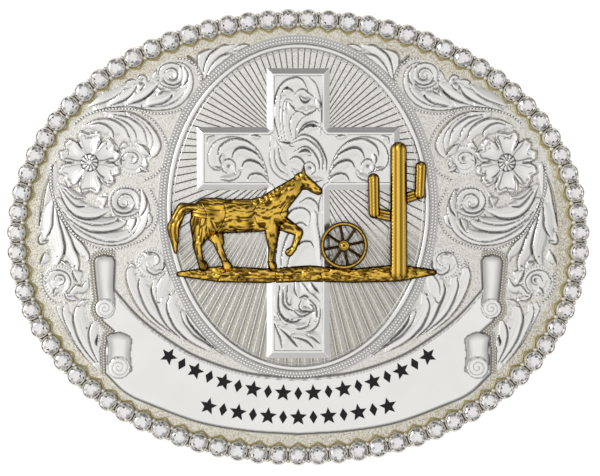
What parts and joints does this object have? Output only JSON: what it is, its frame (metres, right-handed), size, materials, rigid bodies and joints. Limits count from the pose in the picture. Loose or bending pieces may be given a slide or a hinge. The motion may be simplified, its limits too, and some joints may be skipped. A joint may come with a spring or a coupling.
{
  "type": "western belt buckle",
  "caption": "Bent oval trophy buckle plate with a stone-set scalloped edge, raised scrollwork, gilt overlay and inlaid banner, with a belt loop and a hooked prong on its back.",
  "frame": {"origin": "centre of the buckle's outline, on the surface that the loop and the prong rest on", "axes": "+X along the belt, to the right as the face is seen; +Y up the wearer; +Z out of the face"},
  "size_m": [0.105, 0.082, 0.0158],
  "materials": {
    "silver_plate": "bright silver plate with a matted ground",
    "crystal": "faceted clear crystal",
    "gilt": "antiqued gold plate",
    "black_enamel": "glossy black enamel",
    "nickel_wire": "tumbled nickel silver"
  },
  "bodies": {
    "root": {"buckle_plate": "silver_plate", "border_stones": "crystal", "gilt_overlay": "gilt", "banner_inlay": "black_enamel", "belt_loop": "nickel_wire", "prong": "nickel_wire"}
  },
  "joints": []
}
